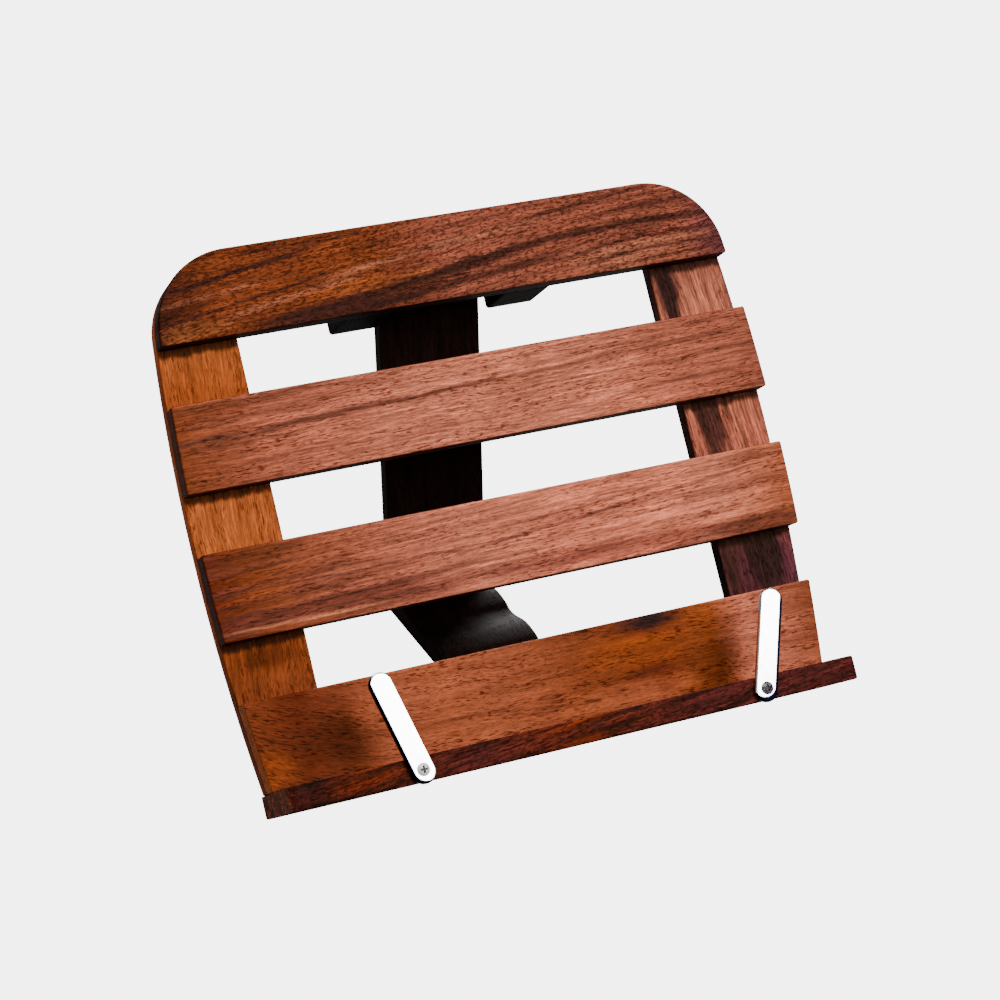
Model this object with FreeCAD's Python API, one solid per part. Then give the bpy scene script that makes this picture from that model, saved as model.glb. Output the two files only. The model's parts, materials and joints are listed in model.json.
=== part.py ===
"""Folding slatted book stand in oiled hardwood.

Four slats on two rear rails make a tilted panel with bowed sides, with a ledge and two pivoting
steel page arms along its foot.  A strut hangs on a pin between two blocks behind the top slat and
stands in one of the notches of a base board, which is pinned behind the bottom slat.

The panel pieces are drawn in the panel's own frame: x across, y up the face from the ledge, z out
of the face towards the reader.  The stand is then tilted, so that X is right, Y is back, Z is up.
"""
import FreeCAD
import Part
import math
import os

V = FreeCAD.Vector
X_AXIS, Y_AXIS, Z_AXIS = V(1, 0, 0), V(0, 1, 0), V(0, 0, 1)

# ------------------------------------------------------------------ driving dimensions, mm and degrees
panel_width = 321.6          # across the widest part of the bowed sides
panel_angle = 52.7           # panel face above the table
slat_names = ("bottom_board", "third_slat", "second_slat", "top_slat")   # from the ledge upwards
slat_height = 45.0
slat_gap = 30.5
slat_thickness = 12.0
side_bow_radius = 1130.0
widest_height = 137.0        # height up the face at which the sides are widest apart
top_corner_radius = 42.0
wood_edge_round = 1.2

rail_thickness = 9.0
rail_spacing = 230.0         # between the inner edges of the two rails

ledge_thickness = 12.4
ledge_reach = 36.4           # how far the ledge stands out in front of the slats
ledge_end_overhang = 1.0     # beyond the panel's foot, each side
ledge_rebate = 0.8           # how far the bottom board and rails are let into the ledge
ledge_corner_round = 5.0

arm_length = 58.6
arm_tail = 1.0               # the round end's middle is this far below the pivot
arm_width = 12.2
arm_thickness = 2.4
arm_edge_round = 0.9
arm_pivot_drop = 6.5         # pivot below the ledge's top face
left_arm_x, left_arm_lean = -86.7, 13.9      # lean is outwards from straight up the face
right_arm_x, right_arm_lean = 99.4, 18.4

block_width = 27.0
block_gap_side = 2.5         # between the strut or base and the blocks beside it
top_block_depth = 32.0
low_block_depth = 35.0
low_block_foot = 9.0         # up the face, so that the block clears the table
low_block_top = 43.0
block_round = 1.8

strut_width = 57.0
strut_thickness = 10.0
strut_pin_drop = 8.0         # below the panel's top edge
strut_pin_back = 17.0        # behind the slats
foot_clearance = 0.25        # between the strut's foot and the notch it stands in

base_length = 141.0          # from its pin to its rear end
base_thickness = 11.0
base_pin_height = 22.0       # up the face
base_pin_back = 28.0         # behind the slats
notch_count = 3
notch_pitch = 43.0
notch_depth = 3.5
rear_notch_from_pin = 127.0
# one notch as (distance along the base from its lowest point, share of the depth)
notch_shape = ((-22.0, 0.03), (-12.0, 0.5), (-4.0, 0.95), (0.0, 1.0), (3.0, 0.9), (6.0, 0.55), (11.0, 0.22))

pin_radius = 2.5
running_clearance = 0.05     # radial, a pin or pivot in a piece that turns on it
seat_clearance = 0.02        # radial, a screw or pin held fast
washer_radius = 6.5
washer_play = 0.25

wood_screw_radius = 1.75
wood_head_radius = 3.5
rail_screw_length = 16.5
rail_screw_x = 130.0
rail_screw_offset = 11.5     # each side of a slat's middle
ledge_screw_length = 36.0
ledge_rail_screw_x = (122.0, 142.0)
ledge_board_screw_x = (-62.0, 0.0, 62.0)
block_screw_length = 29.0
counterbore_radius = 4.2
counterbore_depth = 10.0
arm_screw_radius = 2.0
arm_head_radius = 3.3
arm_head_height = 1.5
arm_screw_length = 20.0      # below the head's seat
arm_washer_thickness = 0.6
arm_play = 0.05              # between an arm and the washer or head it turns against
recess_width = 1.1           # arms of the cross recess in a screw head

# ------------------------------------------------------------------ derived sizes
slat_pitch = slat_height + slat_gap
panel_height = slat_pitch * (len(slat_names) - 1) + slat_height
panel_foot = -ledge_rebate
half_width = panel_width / 2
rail_inner = rail_spacing / 2
rail_back = -(slat_thickness + rail_thickness)
top_slat_foot = panel_height - slat_height
block_inner = strut_width / 2 + block_gap_side
block_outer = block_inner + block_width
base_width = strut_width
tilt = math.radians(panel_angle)

strut_pin = V(0, panel_height - strut_pin_drop, -(slat_thickness + strut_pin_back))
base_pin = V(0, base_pin_height, -(slat_thickness + base_pin_back))


# ------------------------------------------------------------------ frames
def tilted(shape, shift=V(0, 0, 0)):
    """The shape turned from the panel's own frame to the standing frame, then moved."""
    out = shape.copy()
    out.rotate(V(0, 0, 0), X_AXIS, panel_angle)
    out.translate(shift)
    return out


def standing(point):
    """A point of the panel's frame after the tilt, with the panel's foot at the origin."""
    c, s = math.cos(tilt), math.sin(tilt)
    return V(point.x, point.y * c - point.z * s, point.y * s + point.z * c)


# the ledge's lower rear edge rests on the table
lift = -standing(V(0, -ledge_thickness, rail_back)).z


# ------------------------------------------------------------------ shape helpers
def box(x0, x1, y0, y1, z0, z1):
    return Part.makeBox(x1 - x0, y1 - y0, z1 - z0, V(x0, y0, z0))


def rod(radius, start, direction, length):
    return Part.makeCylinder(radius, length, start, direction)


def softened(shape, radius, keep=lambda edge: True):
    """The shape with the chosen edges rounded."""
    return shape.makeFillet(radius, [e for e in shape.Edges if keep(e)])


def along(edge, axis):
    ends = [v.Point for v in edge.Vertexes]
    return len(ends) == 2 and (ends[1] - ends[0]).cross(axis).Length < 1e-6


def bow_half_width(height):
    """Half the panel's width at a height up its face, before the corners are rounded."""
    rise = height - widest_height
    return half_width - side_bow_radius + math.sqrt(side_bow_radius ** 2 - rise ** 2)


def panel_outline():
    """The face of the whole panel: flat foot, bowed sides and rounded upper corners."""
    bow_x = half_width - side_bow_radius
    corner_y = panel_height - top_corner_radius
    reach = side_bow_radius - top_corner_radius
    corner_x = bow_x + math.sqrt(reach ** 2 - (corner_y - widest_height) ** 2)
    bow, corner = V(bow_x, widest_height, 0), V(corner_x, corner_y, 0)
    outward = (corner - bow).normalize()
    meet = corner + outward * top_corner_radius
    to_top = (outward + Y_AXIS).normalize()
    foot = V(bow_half_width(panel_foot), panel_foot, 0)
    side_mid = V(bow_half_width(meet.y / 2), meet.y / 2, 0)
    top = V(corner_x, panel_height, 0)

    def mirrored(p):
        return V(-p.x, p.y, p.z)

    corner_mid = corner + to_top * top_corner_radius
    edges = [
        Part.LineSegment(mirrored(foot), foot),
        Part.Arc(foot, side_mid, meet),
        Part.Arc(meet, corner_mid, top),
        Part.LineSegment(top, mirrored(top)),
        Part.Arc(mirrored(top), mirrored(corner_mid), mirrored(meet)),
        Part.Arc(mirrored(meet), mirrored(side_mid), mirrored(foot)),
    ]
    return Part.Face(Part.Wire([e.toShape() for e in edges]))


def panel_band(y0, y1, x0, x1, z0, z1):
    """The part of the panel's outline inside a rectangle, between two depths."""
    slab = panel_outline().extrude(V(0, 0, z1 - z0))
    slab.translate(V(0, 0, z0))
    return slab.common(box(x0, x1, y0, y1, z0 - 1, z1 + 1)).Solids[0]


def cross_recess(depth, span):
    bars = box(-span, span, -recess_width / 2, recess_width / 2, -depth, 1)
    return bars.fuse(box(-recess_width / 2, recess_width / 2, -span, span, -depth, 1))


def countersunk_screw(length):
    """A screw that points along -z with its flat head flush at z = 0."""
    neck = wood_head_radius - wood_screw_radius
    tip = 2.0 * wood_screw_radius
    profile = Part.makePolygon([
        V(0, 0, 0), V(wood_head_radius, 0, 0), V(wood_screw_radius, 0, -neck),
        V(wood_screw_radius, 0, tip - length), V(0.3, 0, -length), V(0, 0, -length), V(0, 0, 0)])
    screw = Part.Face(profile).revolve(V(0, 0, 0), Z_AXIS, 360)
    return screw.cut(cross_recess(1.4, 2.0))


def countersunk_hole(length):
    """The room that a countersunk screw of this length needs."""
    grow = seat_clearance
    neck = wood_head_radius - wood_screw_radius
    cone = Part.makeCone(wood_screw_radius + grow, wood_head_radius + grow, neck, V(0, 0, -neck))
    shank = rod(wood_screw_radius + grow, V(0, 0, -length - 0.2), Z_AXIS, length)
    return shank.fuse([cone, rod(wood_head_radius + grow, V(0, 0, -1e-3), Z_AXIS, 1)])


def pan_screw(length, shank_radius, head_radius, head_height):
    """A screw that points along -z with its domed head standing on z = 0."""
    dome = (head_radius ** 2 + head_height ** 2) / (2 * head_height)
    head = Part.makeSphere(dome, V(0, 0, head_height - dome))
    head = head.common(rod(head_radius, V(0, 0, 0), Z_AXIS, head_height + 1))
    shank = rod(shank_radius, V(0, 0, -length + 2), Z_AXIS, length - 2)
    point = Part.makeCone(0.3, shank_radius, 2, V(0, 0, -length))
    recess = cross_recess(1.4, 0.55 * head_radius)
    recess.translate(V(0, 0, head_height))
    return head.fuse([shank, point]).cut(recess).Solids[0]


def washer(inner, outer, thickness, start, direction):
    return rod(outer, start, direction, thickness).cut(
        rod(inner, start - direction, direction, thickness + 2))


def aimed(shape, direction, place):
    """The shape turned so that its +z points along direction, then put in its place."""
    out = shape.copy()
    out.Placement = FreeCAD.Placement(place, FreeCAD.Rotation(Z_AXIS, direction))
    return out


# ------------------------------------------------------------------ screw places in the panel's frame
def slat_foot(index):
    return index * slat_pitch


rail_screw_places = [
    V(side * rail_screw_x, slat_foot(i) + slat_height / 2 + end * rail_screw_offset, rail_back)
    for side in (-1, 1) for i in range(len(slat_names)) for end in (-1, 1)]
ledge_screw_places = [
    V(side * x, -ledge_thickness, -slat_thickness - rail_thickness / 2)
    for side in (-1, 1) for x in ledge_rail_screw_x]
ledge_screw_places += [V(x, -ledge_thickness, -slat_thickness / 2) for x in ledge_board_screw_x]
block_mid = (block_inner + block_outer) / 2


def block_screw_places(heights, depth):
    seat = -(slat_thickness + depth - counterbore_depth)
    return [V(side * block_mid, y, seat) for side in (-1, 1) for y in heights]


top_block_screws = block_screw_places((top_slat_foot + 8, top_slat_foot + 25), top_block_depth)
low_block_screws = block_screw_places((low_block_foot + 5, low_block_top - 7), low_block_depth)

rail_holes = [aimed(countersunk_hole(rail_screw_length), -Z_AXIS, p) for p in rail_screw_places]
ledge_holes = [aimed(countersunk_hole(ledge_screw_length), -Y_AXIS, p) for p in ledge_screw_places]
block_holes = [
    rod(wood_screw_radius + seat_clearance, p, Z_AXIS, block_screw_length + 0.2)
    for p in top_block_screws + low_block_screws]


# ------------------------------------------------------------------ panel pieces
def slat(index):
    y0 = slat_foot(index)
    foot = panel_foot if index == 0 else y0
    piece = panel_band(foot, y0 + slat_height, -half_width, half_width, -slat_thickness, 0)
    piece = softened(piece, wood_edge_round)
    return piece.cut(rail_holes + ledge_holes + block_holes)


def rail(side):
    x0, x1 = sorted((side * rail_inner, side * (half_width + 1)))
    piece = panel_band(panel_foot, panel_height, x0, x1, rail_back, -slat_thickness)
    piece = softened(piece, wood_edge_round)
    return piece.cut(rail_holes + ledge_holes)


ledge_half = bow_half_width(0) + ledge_end_overhang
arm_pivots = {"left": V(left_arm_x, -arm_pivot_drop, ledge_reach),
              "right": V(right_arm_x, -arm_pivot_drop, ledge_reach)}


def ledge():
    piece = box(-ledge_half, ledge_half, -ledge_thickness, 0, rail_back, ledge_reach)
    piece = softened(piece, ledge_corner_round,
                     lambda e: along(e, Y_AXIS) and e.CenterOfMass.z > ledge_reach - 1)
    piece = softened(piece, wood_edge_round)
    pilots = [rod(arm_screw_radius + seat_clearance, p, -Z_AXIS, arm_screw_length)
              for p in arm_pivots.values()]
    rebate = box(-half_width, half_width, panel_foot, 1, rail_back - 1, running_clearance)
    return piece.cut([rebate] + ledge_holes + pilots)


def hinge_block(side, y0, y1, depth, pin, screws):
    """A block behind a slat that carries one end of a hinge pin."""
    x0, x1 = sorted((side * block_inner, side * block_outer))
    piece = box(x0, x1, y0, y1, -(slat_thickness + depth), -slat_thickness)
    piece = softened(piece, block_round, lambda e: e.CenterOfMass.z < -slat_thickness - 0.1)
    bore = rod(pin_radius + seat_clearance, V(x0 - 1, pin.y, pin.z), X_AXIS, block_width + 2)
    sinks = [rod(counterbore_radius, p, -Z_AXIS, counterbore_depth + 1) for p in screws]
    return piece.cut([bore] + sinks + block_holes)


def hinge_pin(pin):
    length = 2 * block_outer - 3
    rod_piece = rod(pin_radius, V(-length / 2, pin.y, pin.z), X_AXIS, length)
    return rod_piece.makeChamfer(0.4, rod_piece.Edges[:1] + rod_piece.Edges[2:3])


def spacer_washers(pin):
    """One washer each side, in the gap between the moving board and its blocks."""
    thickness = block_gap_side - washer_play
    start = strut_width / 2 + washer_play / 2
    return Part.Compound([
        washer(pin_radius + running_clearance, washer_radius, thickness,
               V(side * start, pin.y, pin.z), X_AXIS * side)
        for side in (-1, 1)])


# ------------------------------------------------------------------ page arms
arm_seat = ledge_reach + arm_washer_thickness + arm_play
head_seat = arm_seat + arm_thickness + arm_play


def page_arm(pivot, lean):
    """A round-ended flat bar that turns on its screw; lean is anticlockwise from the reader's side."""
    r = arm_width / 2
    low, high = -arm_tail, arm_length - arm_width - arm_tail
    bar = box(-r, r, low, high, 0, arm_thickness)
    bar = bar.fuse([rod(r, V(0, y, 0), Z_AXIS, arm_thickness) for y in (low, high)]).removeSplitter()
    bar = softened(bar, arm_edge_round, lambda e: e.CenterOfMass.z > arm_thickness - 0.01)
    bar = bar.cut(rod(arm_screw_radius + running_clearance, V(0, 0, -1), Z_AXIS, arm_thickness + 2))
    bar.rotate(V(0, 0, 0), Z_AXIS, lean)
    bar.translate(V(pivot.x, pivot.y, arm_seat))
    return bar


def arm_screw(pivot):
    length = head_seat - ledge_reach + arm_screw_length - 0.3
    screw = pan_screw(length, arm_screw_radius, arm_head_radius, arm_head_height)
    screw.translate(V(pivot.x, pivot.y, head_seat))
    return screw


def arm_washer(pivot):
    return washer(arm_screw_radius + seat_clearance, arm_width / 2 - 0.8, arm_washer_thickness,
                  V(pivot.x, pivot.y, ledge_reach), Z_AXIS)


# ------------------------------------------------------------------ base board, standing frame
base_axis = standing(base_pin) + V(0, 0, lift)
strut_axis = standing(strut_pin) + V(0, 0, lift)
base_half = base_thickness / 2
# the base slopes down from its pin until its rear lower corner meets the table
base_slope = math.degrees(math.asin(base_axis.z / math.hypot(base_length, base_half))
                          - math.atan2(base_half, base_length))


def base_board():
    """Drawn along +y from its pin, then sloped down to the table."""
    notches = [rear_notch_from_pin - i * notch_pitch for i in reversed(range(notch_count))]
    crest = [V(0, 0, base_half)]
    for low in notches:
        crest += [V(0, low + dy, base_half - share * notch_depth) for dy, share in notch_shape]
    nose = 2.0
    rear = [V(0, base_length, base_half - nose), V(0, base_length, -base_half)]
    top = Part.BSplineCurve()
    top.interpolate(crest)
    round_end = Part.Arc(V(0, 0, -base_half), V(0, -base_half, 0), V(0, 0, base_half))
    edges = [round_end.toShape(), top.toShape(), Part.makeLine(crest[-1], rear[0]),
             Part.makeLine(rear[0], rear[1]), Part.makeLine(rear[1], V(0, 0, -base_half))]
    board = Part.Face(Part.Wire(edges)).extrude(V(base_width, 0, 0))
    board.translate(V(-base_width / 2, 0, 0))
    board = softened(board, wood_edge_round,
                     lambda e: abs(abs(e.CenterOfMass.x) - base_width / 2) < 1e-6)
    board = board.cut(rod(pin_radius + running_clearance, V(-base_width, 0, 0), X_AXIS, 2 * base_width))
    board.rotate(V(0, 0, 0), X_AXIS, -base_slope)
    board.translate(base_axis)
    return board


# ------------------------------------------------------------------ strut, standing frame
strut_half = strut_thickness / 2
slope = math.radians(base_slope)
notch_low = base_half - notch_depth
foot_point = base_axis + V(0,
                           rear_notch_from_pin * math.cos(slope) + notch_low * math.sin(slope),
                           -rear_notch_from_pin * math.sin(slope) + notch_low * math.cos(slope))
strut_span = foot_point - strut_axis
strut_reach = strut_span.Length - foot_clearance       # from its pin to the tip of its foot
strut_swing = math.degrees(math.atan2(strut_span.y, -strut_span.z))    # back from plumb


def support_strut():
    """Drawn hanging from its pin, round at both ends, then swung into the notch."""
    low = -(strut_reach - strut_half)
    board = box(-strut_width / 2, strut_width / 2, -strut_half, strut_half, low, 0)
    ends = [rod(strut_half, V(-strut_width / 2, 0, z), X_AXIS, strut_width) for z in (0, low)]
    board = board.fuse(ends).removeSplitter()
    board = softened(board, wood_edge_round,
                     lambda e: abs(abs(e.CenterOfMass.x) - strut_width / 2) < 1e-6)
    board = board.cut(rod(pin_radius + running_clearance, V(-strut_width, 0, 0), X_AXIS, 2 * strut_width))
    board.rotate(V(0, 0, 0), X_AXIS, strut_swing)
    board.translate(strut_axis)
    return board


# ------------------------------------------------------------------ every piece by name
panel = {name: slat(i) for i, name in enumerate(slat_names)}
panel["left_rail"] = rail(-1)
panel["right_rail"] = rail(1)
panel["ledge"] = ledge()
for side_name, side in (("left", -1), ("right", 1)):
    panel[side_name + "_top_block"] = hinge_block(
        side, top_slat_foot, panel_height, top_block_depth, strut_pin, top_block_screws)
    panel[side_name + "_low_block"] = hinge_block(
        side, low_block_foot, low_block_top, low_block_depth, base_pin, low_block_screws)
    panel[side_name + "_arm_screw"] = arm_screw(arm_pivots[side_name])
    panel[side_name + "_arm_washer"] = arm_washer(arm_pivots[side_name])
panel["left_page_arm"] = page_arm(arm_pivots["left"], left_arm_lean)
panel["right_page_arm"] = page_arm(arm_pivots["right"], -right_arm_lean)
panel["strut_pin"] = hinge_pin(strut_pin)
panel["base_pin"] = hinge_pin(base_pin)
panel["strut_spacer_washers"] = spacer_washers(strut_pin)
panel["base_spacer_washers"] = spacer_washers(base_pin)
panel["rail_screws"] = Part.Compound(
    [aimed(countersunk_screw(rail_screw_length), -Z_AXIS, p) for p in rail_screw_places])
panel["ledge_screws"] = Part.Compound(
    [aimed(countersunk_screw(ledge_screw_length), -Y_AXIS, p) for p in ledge_screw_places])
block_screw = pan_screw(block_screw_length, wood_screw_radius, wood_head_radius, 2.0)
panel["top_block_screws"] = Part.Compound([aimed(block_screw, -Z_AXIS, p) for p in top_block_screws])
panel["low_block_screws"] = Part.Compound([aimed(block_screw, -Z_AXIS, p) for p in low_block_screws])

pieces = {name: tilted(shape, V(0, 0, lift)) for name, shape in panel.items()}
pieces["base_board"] = base_board()
pieces["support_strut"] = support_strut()

# the origin is on the table, under the middle of the whole stand
whole = Part.Compound(list(pieces.values())).optimalBoundingBox(False, False)
centre = V(0, -(whole.YMin + whole.YMax) / 2, 0)

os.makedirs("parts", exist_ok=True)
for name, shape in pieces.items():
    shape.translate(centre)
    shape.exportStep("parts/" + name + ".step")
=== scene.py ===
import json
import math

import bmesh
import bpy
from mathutils import Euler, Matrix, Vector

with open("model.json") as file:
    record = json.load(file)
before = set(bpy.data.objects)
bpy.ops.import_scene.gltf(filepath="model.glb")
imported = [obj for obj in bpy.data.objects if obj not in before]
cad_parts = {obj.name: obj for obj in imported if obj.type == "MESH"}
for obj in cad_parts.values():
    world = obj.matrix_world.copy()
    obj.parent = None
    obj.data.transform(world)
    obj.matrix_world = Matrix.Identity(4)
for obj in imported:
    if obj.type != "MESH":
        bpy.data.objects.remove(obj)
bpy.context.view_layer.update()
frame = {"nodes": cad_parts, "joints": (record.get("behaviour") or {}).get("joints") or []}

# ---------------------------------------------------------------- the stand's own frame
# Along a face: x across, up from the ledge, out towards the reader.  All in millimetres.
MM = 1000                     # in a metre
ARM_JOINT = next(j for j in frame["joints"] if j["name"] == "left_arm_swing")
PANEL_TILT = math.atan2(-ARM_JOINT["axis"][1], ARM_JOINT["axis"][2])
LEFT_ARM_PIVOT = Vector((-86.7, -6.5, 36.4))
RIGHT_ARM_PIVOT = Vector((99.4, -6.5, 36.4))
SLAT_PITCH = 75.5
PANEL_HEIGHT = 271.5
RAIL_MIDDLE_X = 136
STRUT_LEAN = math.radians(3.0)
STRUT_MIDDLE = (0, 80, 110)   # in the row frame
BASE_SLOPE = math.radians(-4.2)
BASE_MIDDLE = (0, 30, 10)     # in the row frame


def turned(point, angle):
    return Euler((angle, 0, 0)).to_matrix() @ Vector(point)


PANEL_FOOT = Vector(ARM_JOINT["pos_m"]) * MM - turned(LEFT_ARM_PIVOT, PANEL_TILT)


def on_panel(x, up, out):
    """A place given along the panel's face, in metres in the row frame."""
    return (PANEL_FOOT + turned((x, up, out), PANEL_TILT)) / MM


# ---------------------------------------------------------------- node helpers
def node(tree, kind, values=None, **settings):
    """A new node, with sockets set or joined by name or number."""
    made = tree.nodes.new("ShaderNode" + kind)
    for key, value in settings.items():
        setattr(made, key, value)
    for key, value in (values or {}).items():
        socket = made.inputs[key]
        if isinstance(value, bpy.types.NodeSocket):
            tree.links.new(value, socket)
        else:
            socket.default_value = value
    return made


def maths(tree, operation, *values):
    made = node(tree, "Math", dict(enumerate(values)), operation=operation)
    return made.outputs[0]


def vectors(tree, operation, *values):
    made = node(tree, "VectorMath", dict(enumerate(values)), operation=operation)
    return made.outputs[0]


def noise(tree, place, stretch, detail=2.0, roughness=0.5):
    """Noise from 0 to 1, with stretch as repeats per millimetre along, across and deep."""
    scaled = vectors(tree, "MULTIPLY", place, stretch)
    made = node(tree, "TexNoise", {
        "Vector": scaled, "Scale": 1.0, "Detail": detail, "Roughness": roughness})
    return made.outputs["Fac"]


def centred_noise(tree, place, stretch, detail=2.0, roughness=0.5):
    """The same noise, from -0.5 to 0.5."""
    return maths(tree, "SUBTRACT", noise(tree, place, stretch, detail, roughness), 0.5)


def ranged(tree, value, low, high, to_low=0.0, to_high=1.0, smooth=True):
    """The value taken from the range low to high onto the range to_low to to_high."""
    made = node(tree, "MapRange", {0: value, 1: low, 2: high, 3: to_low, 4: to_high},
                interpolation_type="SMOOTHSTEP" if smooth else "LINEAR")
    return made.outputs[0]


def mixed(tree, share, first, second, blend="MIX"):
    """The first colour with a share of the second."""
    made = node(tree, "Mix", {"Factor": share}, data_type="RGBA", blend_type=blend)
    for number, value in ((6, first), (7, second)):
        if isinstance(value, bpy.types.NodeSocket):
            tree.links.new(value, made.inputs[number])
        else:
            made.inputs[number].default_value = (*value[:3], 1.0)
    return made.outputs[2]


def shaded(tree, share, colour, shade):
    """The colour, with a share of it multiplied by the shade."""
    return mixed(tree, share, colour, mixed(tree, 1.0, colour, shade, "MULTIPLY"))


def grey(tree, value):
    return node(tree, "CombineColor", {0: value, 1: value, 2: value}).outputs[0]


def new_group(name, inputs, outputs):
    """A shader node group; inputs and outputs are (name, kind, default)."""
    tree = bpy.data.node_groups.new(name, "ShaderNodeTree")
    for direction, sockets in (("INPUT", inputs), ("OUTPUT", outputs)):
        for label, kind, default in sockets:
            made = tree.interface.new_socket(
                name=label, in_out=direction, socket_type="NodeSocket" + kind)
            if default is not None:
                made.default_value = default
    return tree, tree.nodes.new("NodeGroupInput").outputs, tree.nodes.new("NodeGroupOutput").inputs


def placed(tree, group, values):
    """A group placed in a material or in another group, with its outputs."""
    made = node(tree, "Group", node_tree=group)
    for key, value in values.items():
        if isinstance(value, bpy.types.NodeSocket):
            tree.links.new(value, made.inputs[key])
        else:
            made.inputs[key].default_value = value
    return made.outputs


# ---------------------------------------------------------------- shared effects
# What the wood's own colour is multiplied by, with a painted highlight on the arrises and painted shade on
# the undersides.
PORE_SHADE = (0.30, 0.22, 0.20)
FLECK_SHADE = (0.34, 0.27, 0.25)
# painted highlight along every rounded arris
PAINTED_ARRIS_HIGHLIGHT = (1.5, 1.5, 1.5)
SAWN_ARRIS_SHADE = (0.30, 0.26, 0.25)
# painted shade on the faces that look down
PAINTED_UNDERSIDE_SHADOW = (0.22, 0.18, 0.17)
RUBBED_SHADE = (0.7, 0.69, 0.68)


def hardwood_grain_group():
    """Growth streaks, fine lines, open pores, mottled fleck and cross figure of one board, the figure's
    sheen painted in as lighter and darker bands.
    """
    tree, ins, outs = new_group(
        "hardwood_grain",
        [("Place", "Vector", None), ("Wood", "Color", None), ("Streak Color", "Color", None),
         ("Wander", "Float", 5.0), ("Streak Width", "Float", 7.0), ("Streaks", "Float", 0.5),
         ("Lines", "Float", 0.5), ("Bands", "Float", 0.5), ("Pores", "Float", 0.7),
         ("Fleck", "Float", 0.2), ("Figure", "Float", 0.3)],
        [("Color", "Color", None), ("Roughness", "Float", None), ("Height", "Float", None)])
    place = ins["Place"]
    bend = maths(tree, "MULTIPLY", centred_noise(tree, place, (0.011, 0.022, 0.022)), ins["Wander"])
    ripple = maths(tree, "MULTIPLY", centred_noise(tree, place, (0.045, 0.06, 0.06)), 2.2)
    shift = maths(tree, "ADD", bend, ripple)
    offset = node(tree, "CombineXYZ", {"Y": shift, "Z": shift}).outputs[0]
    grain = vectors(tree, "ADD", place, offset)
    split = node(tree, "SeparateXYZ", {0: grain}).outputs
    banded = node(tree, "CombineXYZ", {
        "X": maths(tree, "MULTIPLY", split[0], 0.007),
        "Y": maths(tree, "DIVIDE", split[1], ins["Streak Width"]),
        "Z": maths(tree, "DIVIDE", split[2], ins["Streak Width"])}).outputs[0]
    streak = ranged(tree, noise(tree, banded, (1, 1, 1), 4.0, 0.6), 0.47, 0.66)
    bands = ranged(tree, noise(tree, grain, (0.012, 0.26, 0.26), 3.0, 0.6), 0.33, 0.67, smooth=False)
    lines = ranged(tree, noise(tree, grain, (0.035, 0.90, 0.90), 4.0, 0.72), 0.33, 0.67, smooth=False)
    fibre = noise(tree, grain, (0.16, 2.2, 2.2), 2.0, 0.6)
    dash = ranged(tree, noise(tree, grain, (0.24, 1.5, 1.5), 1.0, 0.4), 0.56, 0.64)
    crowd = ranged(tree, noise(tree, grain, (0.02, 0.16, 0.16), 2.0), 0.30, 0.58)
    pores = maths(tree, "MULTIPLY", dash, crowd)
    fleck = ranged(tree, noise(tree, grain, (0.42, 0.95, 0.95), 3.0, 0.6), 0.50, 0.60)
    # cross figure of curly grain, with its sheen painted in as lighter and darker bands
    figure = centred_noise(tree, grain, (0.055, 0.022, 0.022), 3.0, 0.55)

    light = maths(tree, "ADD", 1.0, maths(tree, "MULTIPLY", figure, ins["Figure"]))
    for part, share in ((lines, ins["Lines"]), (bands, ins["Bands"])):
        light = maths(tree, "MULTIPLY", light, maths(tree, "ADD", 1.0, maths(
            tree, "MULTIPLY", maths(tree, "SUBTRACT", part, 0.5), share)))
    light = maths(tree, "MULTIPLY", light, ranged(tree, fibre, 0.3, 0.7, 0.72, 1.28, smooth=False))
    colour = mixed(tree, maths(tree, "MULTIPLY", streak, ins["Streaks"]), ins["Wood"], ins["Streak Color"])
    colour = mixed(tree, 1.0, colour, grey(tree, light), "MULTIPLY")
    pit = mixed(tree, 1.0, colour, PORE_SHADE, "MULTIPLY")
    spot = mixed(tree, 1.0, colour, FLECK_SHADE, "MULTIPLY")
    colour = mixed(tree, maths(tree, "MULTIPLY", fleck, ins["Fleck"]), colour, spot)
    colour = mixed(tree, maths(tree, "MULTIPLY", pores, ins["Pores"]), colour, pit)
    tree.links.new(colour, outs["Color"])
    planed = ranged(tree, lines, 0.0, 1.0, 0.52, 0.62)
    tree.links.new(maths(tree, "ADD", planed, maths(tree, "MULTIPLY", pores, 0.15)), outs["Roughness"])
    raised = maths(tree, "MULTIPLY", fibre, 0.35)
    tree.links.new(maths(tree, "SUBTRACT", raised, maths(tree, "MULTIPLY", pores, 0.9)), outs["Height"])
    return tree


def arris_group():
    """Masks from which way the surface faces in a board's own frame.

    Edge is every rounded arris, End those of the sawn ends, Side what doesn't face front or back,
    Under the lower side, Tip the sawn ends and Front the front.
    """
    tree, ins, outs = new_group(
        "arris", [("Facing", "Vector", None)],
        [("Edge", "Float", None), ("End", "Float", None), ("Side", "Float", None),
         ("Under", "Float", None), ("Tip", "Float", None), ("Front", "Float", None)])
    parts = node(tree, "SeparateXYZ", {0: vectors(tree, "ABSOLUTE", ins["Facing"])}).outputs
    widest = maths(tree, "MAXIMUM", maths(tree, "MAXIMUM", parts[0], parts[1]), parts[2])
    edge = ranged(tree, widest, 0.995, 0.90)
    tree.links.new(edge, outs["Edge"])
    tree.links.new(maths(tree, "MULTIPLY", edge, ranged(tree, parts[0], 0.2, 0.5)), outs["End"])
    tree.links.new(ranged(tree, parts[2], 0.8, 0.35), outs["Side"])
    tree.links.new(ranged(tree, parts[0], 0.75, 0.95), outs["Tip"])
    signed = node(tree, "SeparateXYZ", {0: ins["Facing"]}).outputs
    tree.links.new(ranged(tree, signed[1], -0.6, -0.95), outs["Under"])
    tree.links.new(ranged(tree, signed[2], 0.6, 0.95), outs["Front"])
    return tree


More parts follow.
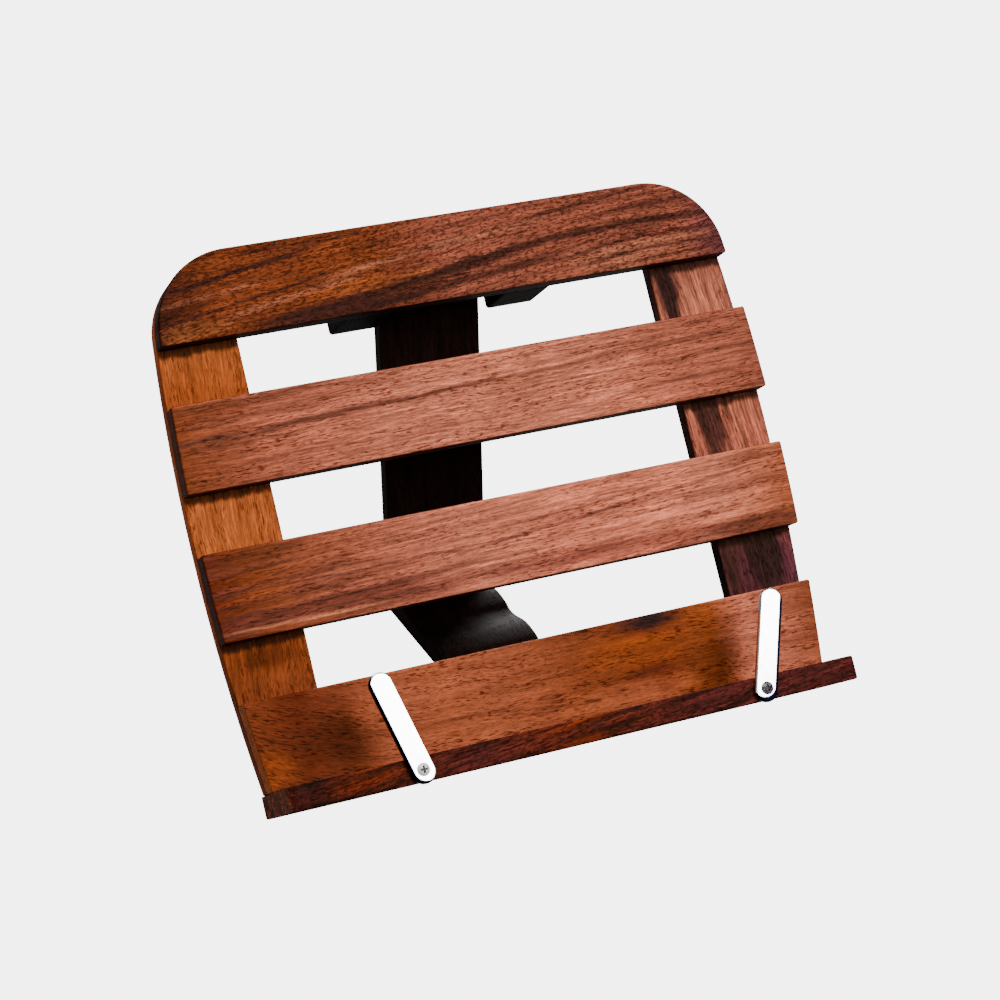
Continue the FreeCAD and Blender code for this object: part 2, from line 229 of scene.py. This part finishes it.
def smudge_group():
    """A soft oval patch with a ragged outline, drawn out along the grain."""
    tree, ins, outs = new_group(
        "smudge",
        [("Place", "Vector", None), ("Lengthwise", "Vector", None), ("Centre", "Vector", None),
         ("Reach", "Vector", None), ("Ragged", "Float", 1.6)],
        [("Mask", "Float", None)])
    apart = vectors(tree, "DIVIDE", vectors(tree, "SUBTRACT", ins["Place"], ins["Centre"]), ins["Reach"])
    flat = vectors(tree, "MULTIPLY", apart, (1.0, 1.0, 0.0))
    away = node(tree, "VectorMath", {0: flat}, operation="LENGTH").outputs["Value"]
    rough = centred_noise(tree, ins["Lengthwise"], (0.04, 0.20, 0.20), 5.0, 0.65)
    away = maths(tree, "ADD", away, maths(tree, "MULTIPLY", rough, ins["Ragged"]))
    tree.links.new(ranged(tree, away, 1.15, 0.35), outs["Mask"])
    return tree


def grain_line_group():
    """One dark growth line across a board, on a bent path and fading at its ends."""
    tree, ins, outs = new_group(
        "grain_line",
        [("Place", "Vector", None), ("Middle", "Vector", None), ("Slope", "Float", 0.0),
         ("Bend", "Float", 0.0), ("Half Length", "Float", 60.0), ("Half Width", "Float", 2.0),
         ("Ragged", "Float", 3.0)],
        [("Mask", "Float", None)])
    apart = node(tree, "SeparateXYZ", {0: vectors(tree, "SUBTRACT", ins["Place"], ins["Middle"])}).outputs
    run = apart[0]
    rise = maths(tree, "ADD", maths(tree, "MULTIPLY", run, ins["Slope"]),
                 maths(tree, "MULTIPLY", maths(tree, "MULTIPLY", run, run), ins["Bend"]))
    sway = centred_noise(tree, ins["Place"], (0.03, 0.05, 0.05), 3.0, 0.6)
    rise = maths(tree, "ADD", rise, maths(tree, "MULTIPLY", sway, ins["Ragged"]))
    off = maths(tree, "ABSOLUTE", maths(tree, "SUBTRACT", apart[1], rise))
    frayed = noise(tree, ins["Place"], (0.06, 0.7, 0.7), 3.0, 0.65)
    fray = ranged(tree, frayed, 0.3, 0.7, 0.4, 1.7, smooth=False)
    width = maths(tree, "MULTIPLY", ins["Half Width"], fray)
    body = ranged(tree, maths(tree, "DIVIDE", off, width), 1.25, 0.3)
    along = maths(tree, "DIVIDE", maths(tree, "ABSOLUTE", run), ins["Half Length"])
    ends = ranged(tree, along, 1.0, 0.55)
    tree.links.new(maths(tree, "MULTIPLY", body, ends), outs["Mask"])
    return tree


def metal_wear_group():
    """Fine rubbing and faint clouding of a metal surface."""
    tree, ins, outs = new_group(
        "metal_wear",
        [("Place", "Vector", None), ("Tint", "Color", None), ("Wear", "Float", 0.3),
         ("Roughness", "Float", 0.2)],
        [("Color", "Color", None), ("Roughness", "Float", None), ("Height", "Float", None)])
    cloud = noise(tree, ins["Place"], (0.25, 0.25, 0.25), 4.0, 0.6)
    rub = noise(tree, ins["Place"], (5.0, 0.35, 5.0), 3.0, 0.6)
    dull = maths(tree, "MULTIPLY", ranged(tree, cloud, 0.35, 0.7), ins["Wear"])
    tree.links.new(shaded(tree, dull, ins["Tint"], RUBBED_SHADE), outs["Color"])
    scuffed = maths(tree, "MULTIPLY", maths(tree, "ADD", dull, maths(tree, "MULTIPLY", rub, 0.3)), 0.25)
    tree.links.new(maths(tree, "ADD", ins["Roughness"], scuffed), outs["Roughness"])
    tree.links.new(rub, outs["Height"])
    return tree


GRAIN = hardwood_grain_group()
ARRIS = arris_group()
SMUDGE = smudge_group()
GRAIN_LINE = grain_line_group()
METAL_WEAR = metal_wear_group()


# ---------------------------------------------------------------- wood
# The colours of the boards, from the darkest heartwood to the palest sapwood.
NEAR_BLACK = (0.02, 0.003, 0.002)
PURPLE_BROWN = (0.07, 0.01, 0.009)
PLUM = (0.09, 0.02, 0.03)
CHESTNUT = (0.12, 0.015, 0.003)
RED_BROWN = (0.20, 0.04, 0.01)
RUSSET = (0.26, 0.065, 0.035)
HONEY = (0.33, 0.065, 0.01)
CINNAMON = (0.35, 0.08, 0.03)
TAWNY = (0.42, 0.11, 0.06)
AMBER = (0.52, 0.12, 0.025)
ROSE = (0.53, 0.15, 0.085)
PALE_ROSE = (0.63, 0.17, 0.095)
# colour of the painted shadow just below the slats
PAINTED_SLAT_SHADOW = (0.012, 0.003, 0.001)
SUPPORT_NEAR_BLACK = (0.008, 0.0035, 0.0026)
OIL_TINT = (1.0, 0.62, 0.42, 1.0)
TONE_DRIFT = 16.0             # how far the tones wander along a board
# how much of the painted highlight the arrises take
PAINTED_ARRIS_HIGHLIGHT_SHARE = 0.45
PATTERN_STEP, PATTERN_COUNT = 137.0, 29


def pattern_shift(name):
    """A fixed shift along the grain, so that no two boards share a pattern."""
    return PATTERN_STEP * (sum(ord(letter) for letter in name) % PATTERN_COUNT)


def swirled(tree, lengthwise, run, start, bend):
    """The grain's place, curling downwards to the left of the start."""
    past = maths(tree, "MINIMUM", maths(tree, "SUBTRACT", run, start), 0.0)
    rise = maths(tree, "MULTIPLY", maths(tree, "MULTIPLY", past, past), -bend)
    return vectors(tree, "ADD", lengthwise, node(tree, "CombineXYZ", {"Y": rise}).outputs[0])


def toned(tree, place, run, tones):
    """The colour along a board, from its (place, colour) stops."""
    first, last = tones[0][0], tones[-1][0]
    drift = maths(tree, "MULTIPLY", centred_noise(tree, place, (0.02, 0.06, 0.06), 3.0), TONE_DRIFT)
    share = ranged(tree, maths(tree, "ADD", run, drift), first, last, smooth=False)
    ramp = node(tree, "ValToRGB", {0: share})
    stops = ramp.color_ramp.elements
    while len(stops) < len(tones):
        stops.new(0.5)
    for stop, (where, colour) in zip(stops, tones):
        stop.position = (where - first) / (last - first)
        stop.color = (*colour, 1.0)
    return ramp.outputs[0]


def smudge_mask(tree, place, lengthwise, x, up, half_x, half_up):
    return placed(tree, SMUDGE, {
        "Place": place, "Lengthwise": lengthwise, "Centre": (x, up, 0),
        "Reach": (half_x, half_up, 1)})["Mask"]


def wood_material(name, turn, origin, tones, along="x", grain_turn=0.0, smudges=(), lines=(),
                  streak=(0.05, 0.016, 0.010), side_shade=0.35, end_shade=0.7, tip=None, swirl=None,
                  sheen=0.10, pale=(0.45, 0.15, 0.08), pale_lines=(), dirt=(), grain=None):
    """One board's oiled hardwood.

    turn and origin set the board's own frame, tones are (place, colour) stops along the grain,
    smudges are (x, up, half x, half up, colour, share), and lines and pale lines are
    (x, up, slope, bend, half length, half width, share).  tip is the colour of the sawn ends, and
    swirl is (x, bend): the grain curls downwards left of x.  dirt are painted shadow,
    given as (x, up, half x, half up, share), on the front only.  The side shade is painted shade
    on the sides.
    """
    material = bpy.data.materials.new(name)
    material.use_nodes = True
    tree = material.node_tree
    tree.nodes.clear()
    coordinates = node(tree, "TexCoord").outputs
    place = node(tree, "Mapping", {
        "Vector": coordinates["Object"], "Location": -turned(origin, -turn), "Rotation": (-turn, 0, 0),
        "Scale": (MM, MM, MM)}).outputs[0]
    facing = node(tree, "Mapping", {"Vector": coordinates["Normal"], "Rotation": (-turn, 0, 0)},
                  vector_type="VECTOR").outputs[0]
    quarter = math.pi / 2 if along == "up" else 0.0
    lengthwise = node(tree, "Mapping", {
        "Vector": place, "Rotation": (0, 0, -quarter - math.radians(grain_turn)),
        "Location": (pattern_shift(name), 0.0, 0.0)}).outputs[0]

    split = node(tree, "SeparateXYZ", {0: place}).outputs
    run = split[1] if along == "up" else split[0]
    if swirl:
        lengthwise = swirled(tree, lengthwise, run, *swirl)
    wood = toned(tree, place, run, tones)
    for *oval, colour, share in smudges:
        mask = smudge_mask(tree, place, lengthwise, *oval)
        wood = mixed(tree, maths(tree, "MULTIPLY", mask, share), wood, colour)
    for colour, drawn in ((pale, pale_lines), (streak, lines)):
        for x, up, slope, bend, half_length, half_width, share in drawn:
            mask = placed(tree, GRAIN_LINE, {
                "Place": place, "Middle": (x, up, 0), "Slope": slope, "Bend": bend,
                "Half Length": half_length, "Half Width": half_width})["Mask"]
            wood = mixed(tree, maths(tree, "MULTIPLY", mask, share), wood, colour)

    masks = placed(tree, ARRIS, {"Facing": facing})
    # painted shadow on the front faces
    for *oval, share in dirt:
        mask = maths(tree, "MULTIPLY", smudge_mask(tree, place, lengthwise, *oval), share)
        wood = mixed(tree, maths(tree, "MULTIPLY", mask, masks["Front"]), wood, PAINTED_SLAT_SHADOW)
    if tip:
        wood = mixed(tree, masks["Tip"], wood, tip)

    surface = placed(tree, GRAIN, {
        "Place": lengthwise, "Wood": wood, "Streak Color": (*streak, 1.0), **grain})
    # painted shade on the faces that look neither front nor back
    colour = shaded(tree, masks["Side"], surface["Color"],
                    (side_shade, side_shade * 0.86, side_shade * 0.8))
    # painted highlight on the rounded arrises
    colour = shaded(tree, maths(tree, "MULTIPLY", masks["Edge"], PAINTED_ARRIS_HIGHLIGHT_SHARE), colour, PAINTED_ARRIS_HIGHLIGHT)
    colour = shaded(tree, maths(tree, "MULTIPLY", masks["End"], end_shade), colour, SAWN_ARRIS_SHADE)
    # painted shade on the undersides
    colour = shaded(tree, masks["Under"], colour, PAINTED_UNDERSIDE_SHADOW)
    bump = node(tree, "Bump", {
        "Height": surface["Height"], "Strength": 0.35, "Distance": 0.0003}).outputs[0]
    shader = node(tree, "BsdfPrincipled", {
        "Base Color": colour, "Roughness": surface["Roughness"], "Normal": bump,
        "Specular IOR Level": sheen, "Specular Tint": OIL_TINT})
    node(tree, "OutputMaterial", {"Surface": shader.outputs[0]})
    return material


def slat_material(name, index, tones, **looks):
    """The hardwood of a piece of the panel, placed from the foot of the slat of that index."""
    foot = PANEL_FOOT + turned((0, index * SLAT_PITCH, 0), PANEL_TILT)
    return wood_material(name, PANEL_TILT, foot, tones, **looks)


def top_slat_wood():
    """Red-brown with a dark band that climbs to the right, and a mottled figure."""
    return slat_material("top_slat_wood", 3, [
        (-160, NEAR_BLACK), (-120, RED_BROWN), (-40, RED_BROWN), (0, RUSSET), (130, RUSSET), (160, PLUM)],
        grain_turn=5.0, streak=(0.036, 0.009, 0.007), sheen=0.08, pale=(0.42, 0.145, 0.075),
        smudges=[(-45, 14, 45, 5, (0.36, 0.08, 0.017), 0.75), (-55, 3, 55, 6, (0.030, 0.007, 0.006), 0.9),
                 (100, 8, 40, 9, (0.36, 0.12, 0.062), 0.5), (-140, 5, 25, 6, (0.33, 0.09, 0.025), 0.6)],
        pale_lines=[(0, 28.5, 0.105, 0.0, 75, 1.8, 0.5), (-85, 14.5, 0.16, 0.0, 45, 2.2, 0.35),
                    (110, 12, 0.05, -0.0009, 50, 1.6, 0.35), (-130, 21, 0.10, 0.0, 40, 1.4, 0.25)],
        lines=[(-30, 10, 0.13, 0.0003, 90, 4.2, 0.9), (70, 23.2, 0.06, -0.0007, 100, 2.2, 0.9),
               (10, 8.5, 0.10, 0.0, 65, 2.4, 0.75), (-115, 31, 0.135, 0.0, 55, 1.7, 0.9),
               (-110, 16, 0.16, 0.0002, 60, 1.1, 0.75), (105, 15.5, 0.06, -0.0012, 60, 1.2, 0.75),
               (110, 9.0, 0.05, -0.0010, 55, 1.0, 0.65), (120, 4, 0.04, -0.0008, 50, 0.9, 0.6),
               (85, 39.5, 0.10, 0.0, 50, 1.3, 0.7), (120, 33, 0.03, 0.0, 45, 1.1, 0.5),
               (-70, 41, 0.02, 0.0, 45, 0.9, 0.6)],
        grain={"Wander": 9.0, "Streak Width": 5.0, "Streaks": 0.40, "Lines": 1.0, "Bands": 0.45,
               "Pores": 1.0, "Fleck": 1.0, "Figure": 0.5})


def second_slat_wood():
    """Rosy mid-brown with one dark line along it and a pale cross figure right of the middle, the figure's
    sheen painted in.
    """
    return slat_material("second_slat_wood", 2, [
        (-160, RED_BROWN), (-95, TAWNY), (-30, ROSE), (60, ROSE), (105, TAWNY), (160, RUSSET)],
        grain_turn=1.2, streak=(0.13, 0.036, 0.022), sheen=0.10,
        smudges=[(-150, 40, 60, 5, (0.17, 0.036, 0.012), 0.7)],
        lines=[(-90, 26.6, 0.033, 0.0, 115, 1.5, 0.85), (60, 31.2, 0.033, 0.0, 125, 1.0, 0.6),
               (120, 12, 0.02, 0.0, 50, 0.9, 0.6), (105, 41, 0.0, 0.0, 65, 1.3, 0.5),
               (-60, 42, 0.02, 0.0, 90, 1.0, 0.5), (70, 36, 0.02, 0.0, 60, 1.2, 0.45)],
        grain={"Wander": 4.0, "Streak Width": 6.0, "Streaks": 0.38, "Lines": 1.15, "Bands": 0.6,
               "Pores": 0.95, "Fleck": 0.3, "Figure": 0.45})


def third_slat_wood():
    """Browner at its left end, rosy right of the middle, with a dark line and a red lower edge."""
    return slat_material("third_slat_wood", 1, [
        (-160, CHESTNUT), (-130, RED_BROWN), (-60, TAWNY), (-20, ROSE), (30, PALE_ROSE), (90, PALE_ROSE),
        (120, ROSE), (160, CINNAMON)],
        grain_turn=1.8, streak=(0.12, 0.034, 0.024), sheen=0.10,
        smudges=[(-90, 8, 85, 8, (0.13, 0.028, 0.017), 0.85), (60, 6, 90, 7, (0.33, 0.075, 0.045), 0.8),
                 (140, 4, 34, 8, (0.13, 0.028, 0.012), 0.9),
                 (-120, 4.0, 60, 1.4, (0.50, 0.15, 0.070), 0.6)],
        lines=[(-70, 22.5, 0.012, 0.0, 60, 1.1, 0.8), (60, 28.2, 0.085, 0.0, 115, 1.1, 0.7),
               (30, 31, 0.06, 0.0, 70, 0.8, 0.55), (-60, 13, 0.02, 0.0, 110, 1.0, 0.5)],
        grain={"Wander": 5.0, "Streak Width": 5.5, "Streaks": 0.42, "Lines": 0.95, "Bands": 0.7,
               "Pores": 0.85, "Fleck": 0.25, "Figure": 0.4})


def bottom_board_wood():
    """Golden at the left end, rosy in the middle and amber right of it, with dark clouds and painted
    shadows of the two page arms.
    """
    return slat_material("bottom_board_wood", 0, [
        (-160, RED_BROWN), (-130, CHESTNUT), (-85, CINNAMON), (-20, CINNAMON), (20, RED_BROWN),
        (60, CHESTNUT), (95, HONEY), (115, PALE_ROSE), (160, RED_BROWN)],
        grain_turn=-1.0, streak=(0.12, 0.022, 0.007), side_shade=1.0, end_shade=0.35,
        tip=(0.42, 0.120, 0.030), swirl=(-70, 0.0026), sheen=0.10,
        # painted shadow of the left page arm
        smudges=[(-120, 16, 24, 18, (0.075, 0.013, 0.003), 0.45),
                 (-150, 10, 14, 9, (0.30, 0.055, 0.005), 0.7),
                 (50, 28, 36, 12, (0.33, 0.060, 0.005), 0.7),
                 (60, 43.5, 22, 8, (0.018, 0.006, 0.007), 1.0),
                 # painted shadow of the right page arm
                 (92, 12, 18, 24, (0.075, 0.014, 0.002), 0.45),
                 (40, 5, 45, 9, (0.55, 0.13, 0.045), 0.5),
                 (20, 44, 40, 5, (0.15, 0.030, 0.008), 0.6),
                 (-60, 33, 40, 10, (0.48, 0.11, 0.045), 0.5)],
        lines=[(60, 26, 0.0, 0.003, 30, 0.9, 0.5), (-20, 12, -0.1, -0.001, 50, 0.8, 0.4),
               (50, 17, -0.15, 0.001, 40, 0.8, 0.4), (21.5, 8.2, -0.06, 0.0, 6, 1.4, 1.0),
               (-4, 8, 0.0, 0.0, 9, 1.3, 0.6), (-135, 27, 0.25, -0.002, 30, 0.9, 0.5)],
        grain={"Wander": 14.0, "Streak Width": 8.0, "Streaks": 0.34, "Lines": 0.55, "Bands": 0.35,
               "Pores": 1.0, "Fleck": 0.3, "Figure": 0.35})


def ledge_wood():
    """Dark purple-brown heartwood."""
    return slat_material("ledge_wood", 0, [
        (-160, PURPLE_BROWN), (-140, NEAR_BLACK), (-110, CHESTNUT), (-60, PURPLE_BROWN), (0, CHESTNUT),
        (60, PURPLE_BROWN), (160, PURPLE_BROWN)],
        grain_turn=6.0, streak=(0.018, 0.005, 0.005), side_shade=1.0, end_shade=0.0,
        tip=(0.19, 0.052, 0.021), sheen=0.08,
        grain={"Wander": 10.0, "Streak Width": 4.0, "Streaks": 0.6, "Lines": 1.7, "Bands": 1.5,
               "Pores": 1.0, "Fleck": 0.9, "Figure": 0.5})


def shadows_below_slats(x):
    """Painted shadow on a rail just below each slat."""
    below, half_x, half_up, share = 1.5, 60, 3.6, 0.9
    return [(x, index * SLAT_PITCH - below, half_x, half_up, share) for index in (1, 2, 3)]


def left_rail_wood():
    """Light amber sapwood."""
    return slat_material("left_rail_wood", 0, [
        (0, HONEY), (48, RED_BROWN), (70, HONEY), (145, AMBER), (200, HONEY), (225, AMBER), (271, AMBER)],
        along="up", grain_turn=-4.0, streak=(0.15, 0.028, 0.006), side_shade=0.8, sheen=0.08,
        smudges=[(-RAIL_MIDDLE_X, 66, 18, 8, (0.085, 0.014, 0.002), 0.8)],
        dirt=shadows_below_slats(-RAIL_MIDDLE_X),
        grain={"Wander": 7.0, "Streak Width": 3.0, "Streaks": 0.40, "Lines": 0.9, "Bands": 0.5,
               "Pores": 0.8, "Fleck": 0.1, "Figure": 0.35})


def right_rail_wood():
    """Rosy wood crossed by a slanting streak of dark heartwood."""
    dark = (0.020, 0.007, 0.008)
    return slat_material("right_rail_wood", 0, [
        (0, PLUM), (60, PLUM), (130, TAWNY), (210, ROSE), (271, TAWNY)],
        along="up", grain_turn=3.0, streak=(0.050, 0.014, 0.012), side_shade=0.12, sheen=0.08,
        smudges=[(123, 214, 9, 40, dark, 1.0), (129, 135, 10, 34, dark, 0.9),
                 (140, 60, 16, 30, dark, 1.0), (118, 58, 9, 24, (0.045, 0.014, 0.012), 0.9)],
        dirt=shadows_below_slats(RAIL_MIDDLE_X),
        grain={"Wander": 7.0, "Streak Width": 4.0, "Streaks": 0.6, "Lines": 1.2, "Bands": 1.1,
               "Pores": 0.8, "Fleck": 0.1, "Figure": 0.4})


def support_wood(name, turn, middle):
    """The near-black wood of the strut, the base board and the hinge blocks."""
    return wood_material(name, turn, middle, [
        (-150, SUPPORT_NEAR_BLACK), (150, SUPPORT_NEAR_BLACK)],
        along="up", streak=(0.0035, 0.0017, 0.0013), side_shade=0.9, end_shade=0.0, sheen=0.04,
        grain={"Wander": 6.0, "Streak Width": 6.0, "Streaks": 0.6, "Lines": 1.0, "Bands": 0.7,
               "Pores": 0.7, "Fleck": 0.1, "Figure": 0.4})


# ---------------------------------------------------------------- metal
ARM_SPINE = (-1.0, 45.4)      # the middles of its round ends, along it from its pivot
ARM_HALF_WIDTH = 6.1
DOME_RADIUS = 4.38            # of a page arm screw's head
DOME_MIDDLE = 0.22            # out from the ledge's front
# painted dark reflection and shade along the page arms' rims
PAINTED_RIM_DARK = (0.0006, 0.0007, 0.0042)


def painted_rim_mask(tree, place, shift):
    """A mask of a page arm's rim, outside its own outline when that is moved by the shift, where a dark
    reflection and shade are painted.
    """
    apart = node(tree, "SeparateXYZ", {0: vectors(tree, "SUBTRACT", place, (*shift, 0.0))}).outputs
    past_end = maths(tree, "SUBTRACT", apart[1], node(tree, "Clamp", {
        0: apart[1], 1: ARM_SPINE[0], 2: ARM_SPINE[1]}).outputs[0])
    spread = node(tree, "CombineXYZ", {"X": apart[0], "Y": past_end}).outputs[0]
    away = node(tree, "VectorMath", {0: spread}, operation="LENGTH").outputs["Value"]
    return ranged(tree, away, ARM_HALF_WIDTH - 0.45, ARM_HALF_WIDTH - 0.05)


def metal_material(name, tint, roughness, wear, metallic=1.0, pivot=None, lean=0.0,
                   painted_dark_rim=None, mottle=None, painted_hollow_shade=None):
    """Bright metal, optionally with a painted dark reflection and shade on its rim, a mottled tint, and
    painted shade in the hollow of a domed head's cross.
    """
    material = bpy.data.materials.new(name)
    material.use_nodes = True
    tree = material.node_tree
    tree.nodes.clear()
    coordinates = node(tree, "TexCoord").outputs
    turn = Euler((-PANEL_TILT, 0.0, -lean))
    shift = -(turn.to_matrix() @ (pivot if pivot else Vector()))
    place = node(tree, "Mapping", {
        "Vector": coordinates["Object"], "Rotation": turn, "Location": shift,
        "Scale": (MM, MM, MM)}).outputs[0]
    worn = placed(tree, METAL_WEAR, {
        "Place": place, "Tint": (*tint, 1.0), "Wear": wear, "Roughness": roughness})
    colour = worn["Color"]
    if mottle:
        specks = ranged(tree, noise(tree, place, (1.3, 1.3, 1.3), 3.0, 0.6), 0.45, 0.55)
        colour = mixed(tree, specks, colour, mottle)
    # painted dark reflection and shade on the rim
    if painted_dark_rim:
        colour = mixed(tree, painted_rim_mask(tree, place, painted_dark_rim), colour, PAINTED_RIM_DARK)
    # painted shade in the hollow of the head's cross
    if painted_hollow_shade:
        within = node(tree, "VectorMath", {0: vectors(tree, "SUBTRACT", place, (0.0, 0.0, DOME_MIDDLE))},
                      operation="LENGTH").outputs["Value"]
        below = ranged(tree, within, DOME_RADIUS - 0.06, DOME_RADIUS - 0.2)
        colour = mixed(tree, below, colour, painted_hollow_shade)
    bump = node(tree, "Bump", {
        "Height": worn["Height"], "Strength": 0.05, "Distance": 0.0001}).outputs[0]
    shader = node(tree, "BsdfPrincipled", {
        "Base Color": colour, "Metallic": metallic, "Roughness": worn["Roughness"], "Normal": bump})
    node(tree, "OutputMaterial", {"Surface": shader.outputs[0]})
    return material


# ---------------------------------------------------------------- finishes onto the pieces
def finish_with(material, *names):
    """Give the named pieces this finish in place of their own."""
    for name in names:
        mesh = frame["nodes"][name].data
        mesh.materials.clear()
        mesh.materials.append(material)


PAGE_ARMS = {
    # its pivot, its lean in degrees, and the shift that places the painted dark reflection and shade on
    # its rim
    "left": (PANEL_FOOT + turned(LEFT_ARM_PIVOT, PANEL_TILT), 13.9, (1.25, 1.0)),
    "right": (PANEL_FOOT + turned(RIGHT_ARM_PIVOT, PANEL_TILT), -18.4, (-1.5, 2.2)),
}
# each screw's metal, with the colour of the painted shade in its head's cross
SCREW_LOOKS = {
    "left": {"tint": (0.97, 0.95, 0.93), "roughness": 0.36, "wear": 0.1, "metallic": 0.3,
             "painted_hollow_shade": (0.010, 0.006, 0.004)},
    "right": {"tint": (0.34, 0.33, 0.35), "roughness": 0.45, "wear": 0.9, "mottle": (0.025, 0.022, 0.030),
              "painted_hollow_shade": (0.05, 0.045, 0.05)},
}
PANEL_WOODS = {
    "top_slat": top_slat_wood, "second_slat": second_slat_wood, "third_slat": third_slat_wood,
    "bottom_board": bottom_board_wood, "ledge": ledge_wood,
    "left_rail": left_rail_wood, "right_rail": right_rail_wood,
}
for board, wood_of in PANEL_WOODS.items():
    finish_with(wood_of(), board)
for block in ("left_top_block", "right_top_block", "left_low_block", "right_low_block"):
    finish_with(support_wood(block + "_wood", PANEL_TILT, PANEL_FOOT), block)
finish_with(support_wood("support_strut_wood", math.pi / 2 + STRUT_LEAN, STRUT_MIDDLE), "support_strut")
finish_with(support_wood("base_board_wood", BASE_SLOPE, BASE_MIDDLE), "base_board")
for side, (pivot, lean, painted_dark_rim) in PAGE_ARMS.items():
    polished = metal_material(side + "_polished_arm", (0.95, 0.95, 0.96), 0.12, 0.15, pivot=pivot,
                              lean=math.radians(lean), painted_dark_rim=painted_dark_rim)
    finish_with(polished, side + "_page_arm")
    screw = metal_material(side + "_screw_metal", pivot=pivot, **SCREW_LOOKS[side])
    finish_with(screw, side + "_arm_screw")
finish_with(metal_material("dark_washer", (0.03, 0.03, 0.06), 0.35, 0.4),
            "left_arm_washer", "right_arm_washer")
finish_with(metal_material("plated_steel", (0.55, 0.54, 0.52), 0.30, 0.6),
            "strut_pin", "base_pin", "strut_spacer_washers", "base_spacer_washers",
            "rail_screws", "ledge_screws", "top_block_screws", "low_block_screws")


# ---------------------------------------------------------------- studio
FLOOR_HALF = 30.0
FLOOR_DROP = -0.0005
PALE = (0.992, 0.992, 1.0, 1.0)
PALE_GLOW = 5.5
PALE_SHARE = 0.97             # of the floor's look to the camera
AIR = (0.95, 0.97, 1.0, 1.0)
AIR_GLOW = 0.10


def studio_floor():
    """A plain pale floor: even to the eye, and dim to everything that it would light."""
    mesh = bpy.data.meshes.new("floor")
    sheet = bmesh.new()
    bmesh.ops.create_grid(sheet, x_segments=1, y_segments=1, size=FLOOR_HALF,
                          matrix=Matrix.Translation((0.0, 0.0, FLOOR_DROP)))
    sheet.to_mesh(mesh)
    sheet.free()
    floor = bpy.data.objects.new("floor", mesh)
    bpy.context.scene.collection.objects.link(floor)
    material = bpy.data.materials.new("floor_paper")
    material.use_nodes = True
    tree = material.node_tree
    tree.nodes.clear()
    seen = node(tree, "LightPath").outputs["Is Camera Ray"]
    glow = node(tree, "Emission", {"Color": PALE, "Strength": PALE_GLOW}).outputs[0]
    paper = node(tree, "BsdfDiffuse", {"Color": (0.30, 0.30, 0.30, 1.0)}).outputs[0]
    share = maths(tree, "MULTIPLY", seen, PALE_SHARE)
    shown = node(tree, "MixShader", {0: share, 1: paper, 2: glow}).outputs[0]
    node(tree, "OutputMaterial", {"Surface": shown})
    mesh.materials.append(material)


def studio_air():
    """Soft even light from all round, as pale as the floor where it is seen."""
    world = bpy.data.worlds.new("studio_air")
    world.use_nodes = True
    tree = world.node_tree
    tree.nodes.clear()
    seen = node(tree, "LightPath").outputs["Is Camera Ray"]
    dim = node(tree, "Background", {"Color": AIR, "Strength": AIR_GLOW}).outputs[0]
    pale = node(tree, "Background", {"Color": PALE, "Strength": PALE_GLOW}).outputs[0]
    shown = node(tree, "MixShader", {0: seen, 1: dim, 2: pale}).outputs[0]
    node(tree, "OutputWorld", {"Surface": shown})
    bpy.context.scene.world = world


def softbox(name, place, target, size, power):
    """A square area light that isn't itself seen."""
    data = bpy.data.lights.new(name, "AREA")
    data.shape = "SQUARE"
    data.size = size
    data.energy = power
    light = bpy.data.objects.new(name, data)
    light.location = place
    light.rotation_euler = (Vector(target) - Vector(place)).to_track_quat("-Z", "Y").to_euler()
    light.visible_camera = False
    bpy.context.scene.collection.objects.link(light)


SENSOR_WIDTH = 36.0
LENS = 88.49
VIEW_END = 100.0
EYE = (-426.5, -18.7, 1177.1)      # in the panel's frame
EYE_DIP, EYE_TURN = 28.684, 22.586


def camera():
    """A long lens, above and left of the reader."""
    data = bpy.data.cameras.new("camera")
    data.sensor_width = SENSOR_WIDTH
    data.lens = LENS
    data.clip_end = VIEW_END
    eye = bpy.data.objects.new("camera", data)
    eye.location = on_panel(*EYE)
    eye.rotation_euler = (math.radians(90 - EYE_DIP), 0.0, math.radians(-EYE_TURN))
    bpy.context.scene.collection.objects.link(eye)
    bpy.context.scene.camera = eye


PANEL_MIDDLE = on_panel(0, PANEL_HEIGHT / 2, 0)
SOFTBOXES = {
    # how far it stands from the panel's middle, its size, and its power
    "key_box": ((0.5392, -1.0832, 1.0448), 0.75, 28.0),
    "top_box": ((-0.2, 0.1, 1.6), 0.8, 14.0),
    "left_box": ((-1.5, -0.3, 0.4), 1.0, 4.0),
    "back_box": ((0.6, 1.6, 0.15), 1.2, 48.0),
}
studio_floor()
studio_air()
for light_name, (away, size, power) in SOFTBOXES.items():
    softbox(light_name, PANEL_MIDDLE + Vector(away), PANEL_MIDDLE, size, power)
camera()
